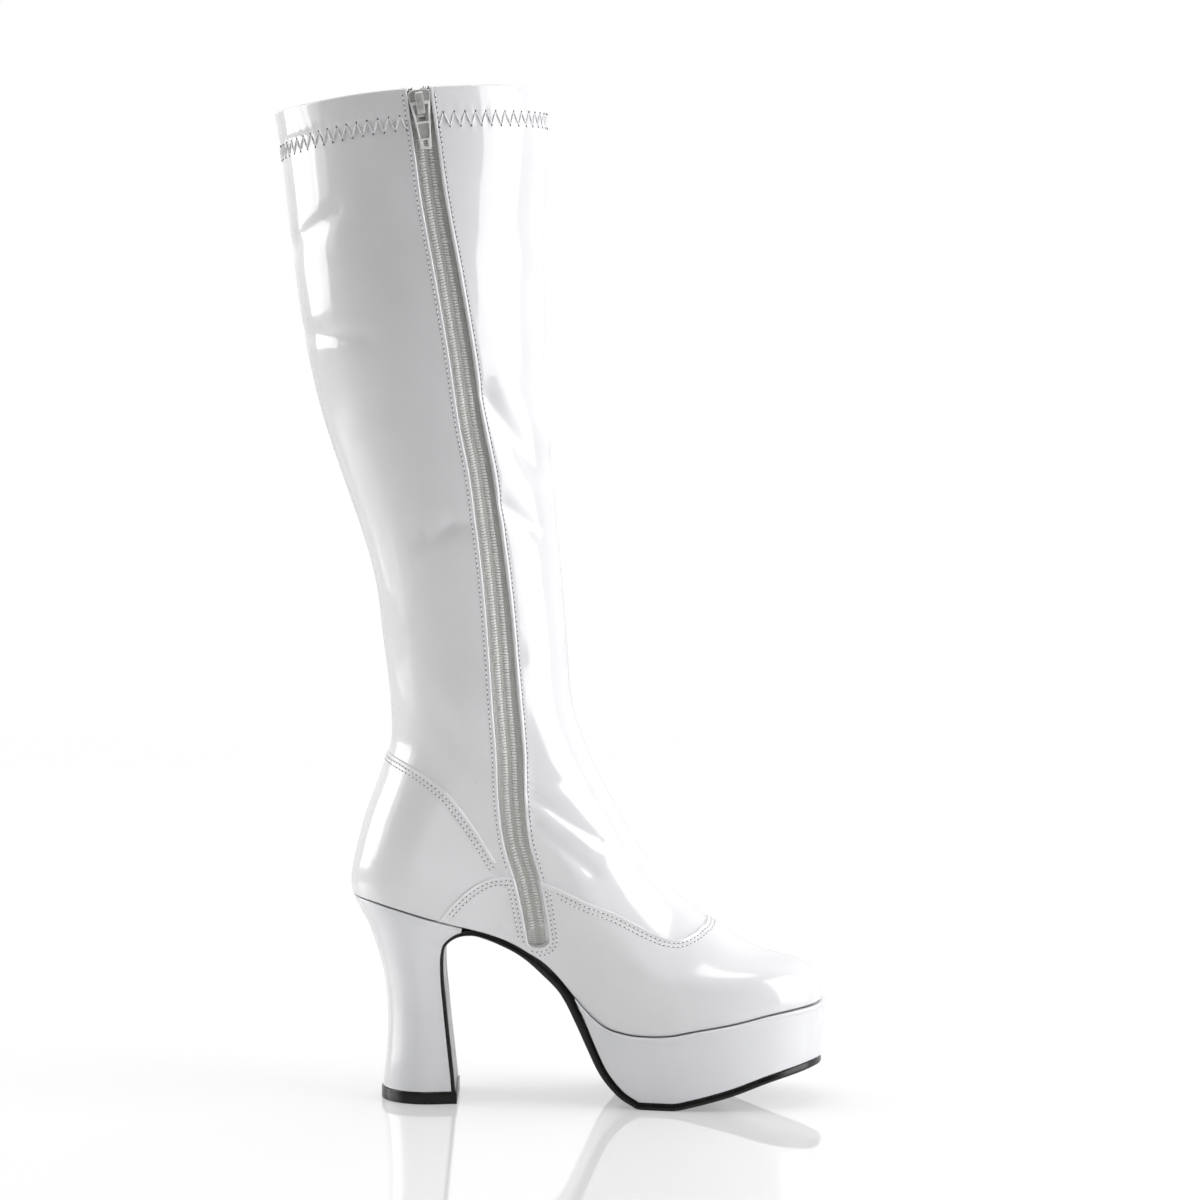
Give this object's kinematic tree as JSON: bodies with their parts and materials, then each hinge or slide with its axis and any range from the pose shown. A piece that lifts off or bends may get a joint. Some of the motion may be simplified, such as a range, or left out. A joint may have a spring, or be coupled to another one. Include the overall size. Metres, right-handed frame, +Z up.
{
  "type": "platform boot",
  "caption": "Left knee-high platform boot in glossy patent with a full-length inner-side zip, wrapped platform and flared chunky heel.",
  "frame": {"origin": "middle of the heel lift's ground face", "axes": "+X runs to the toe, +Z up along the shaft, -Y is the inner side with the zip"},
  "size_m": [0.261, 0.1048, 0.4801],
  "materials": {
    "patent": "white patent, high gloss",
    "lining": "off-white brushed lining",
    "sole": "black, glossy edge",
    "zip_textile": "off-white woven tape",
    "zip_coil": "off-white nylon coil",
    "zip_metal": "off-white paint on metal"
  },
  "bodies": {
    "boot": {"upper": "patent", "insole": "lining", "platform": "patent", "outsole": "sole", "heel": "patent", "heel_lift": "sole", "zip_tape": "zip_textile", "zip_chain": "zip_coil", "zip_slider": "zip_metal"},
    "pull": {"zip_pull": "zip_metal"}
  },
  "joints": [
    {"name": "pull_hinge", "type": "hinge", "parent": "boot", "child": "pull", "pos_m": [0.00408, -0.0522, 0.47155], "axis": [-0.9871, -0.0824, -0.1372], "range_deg": [0, 160]}
  ]
}
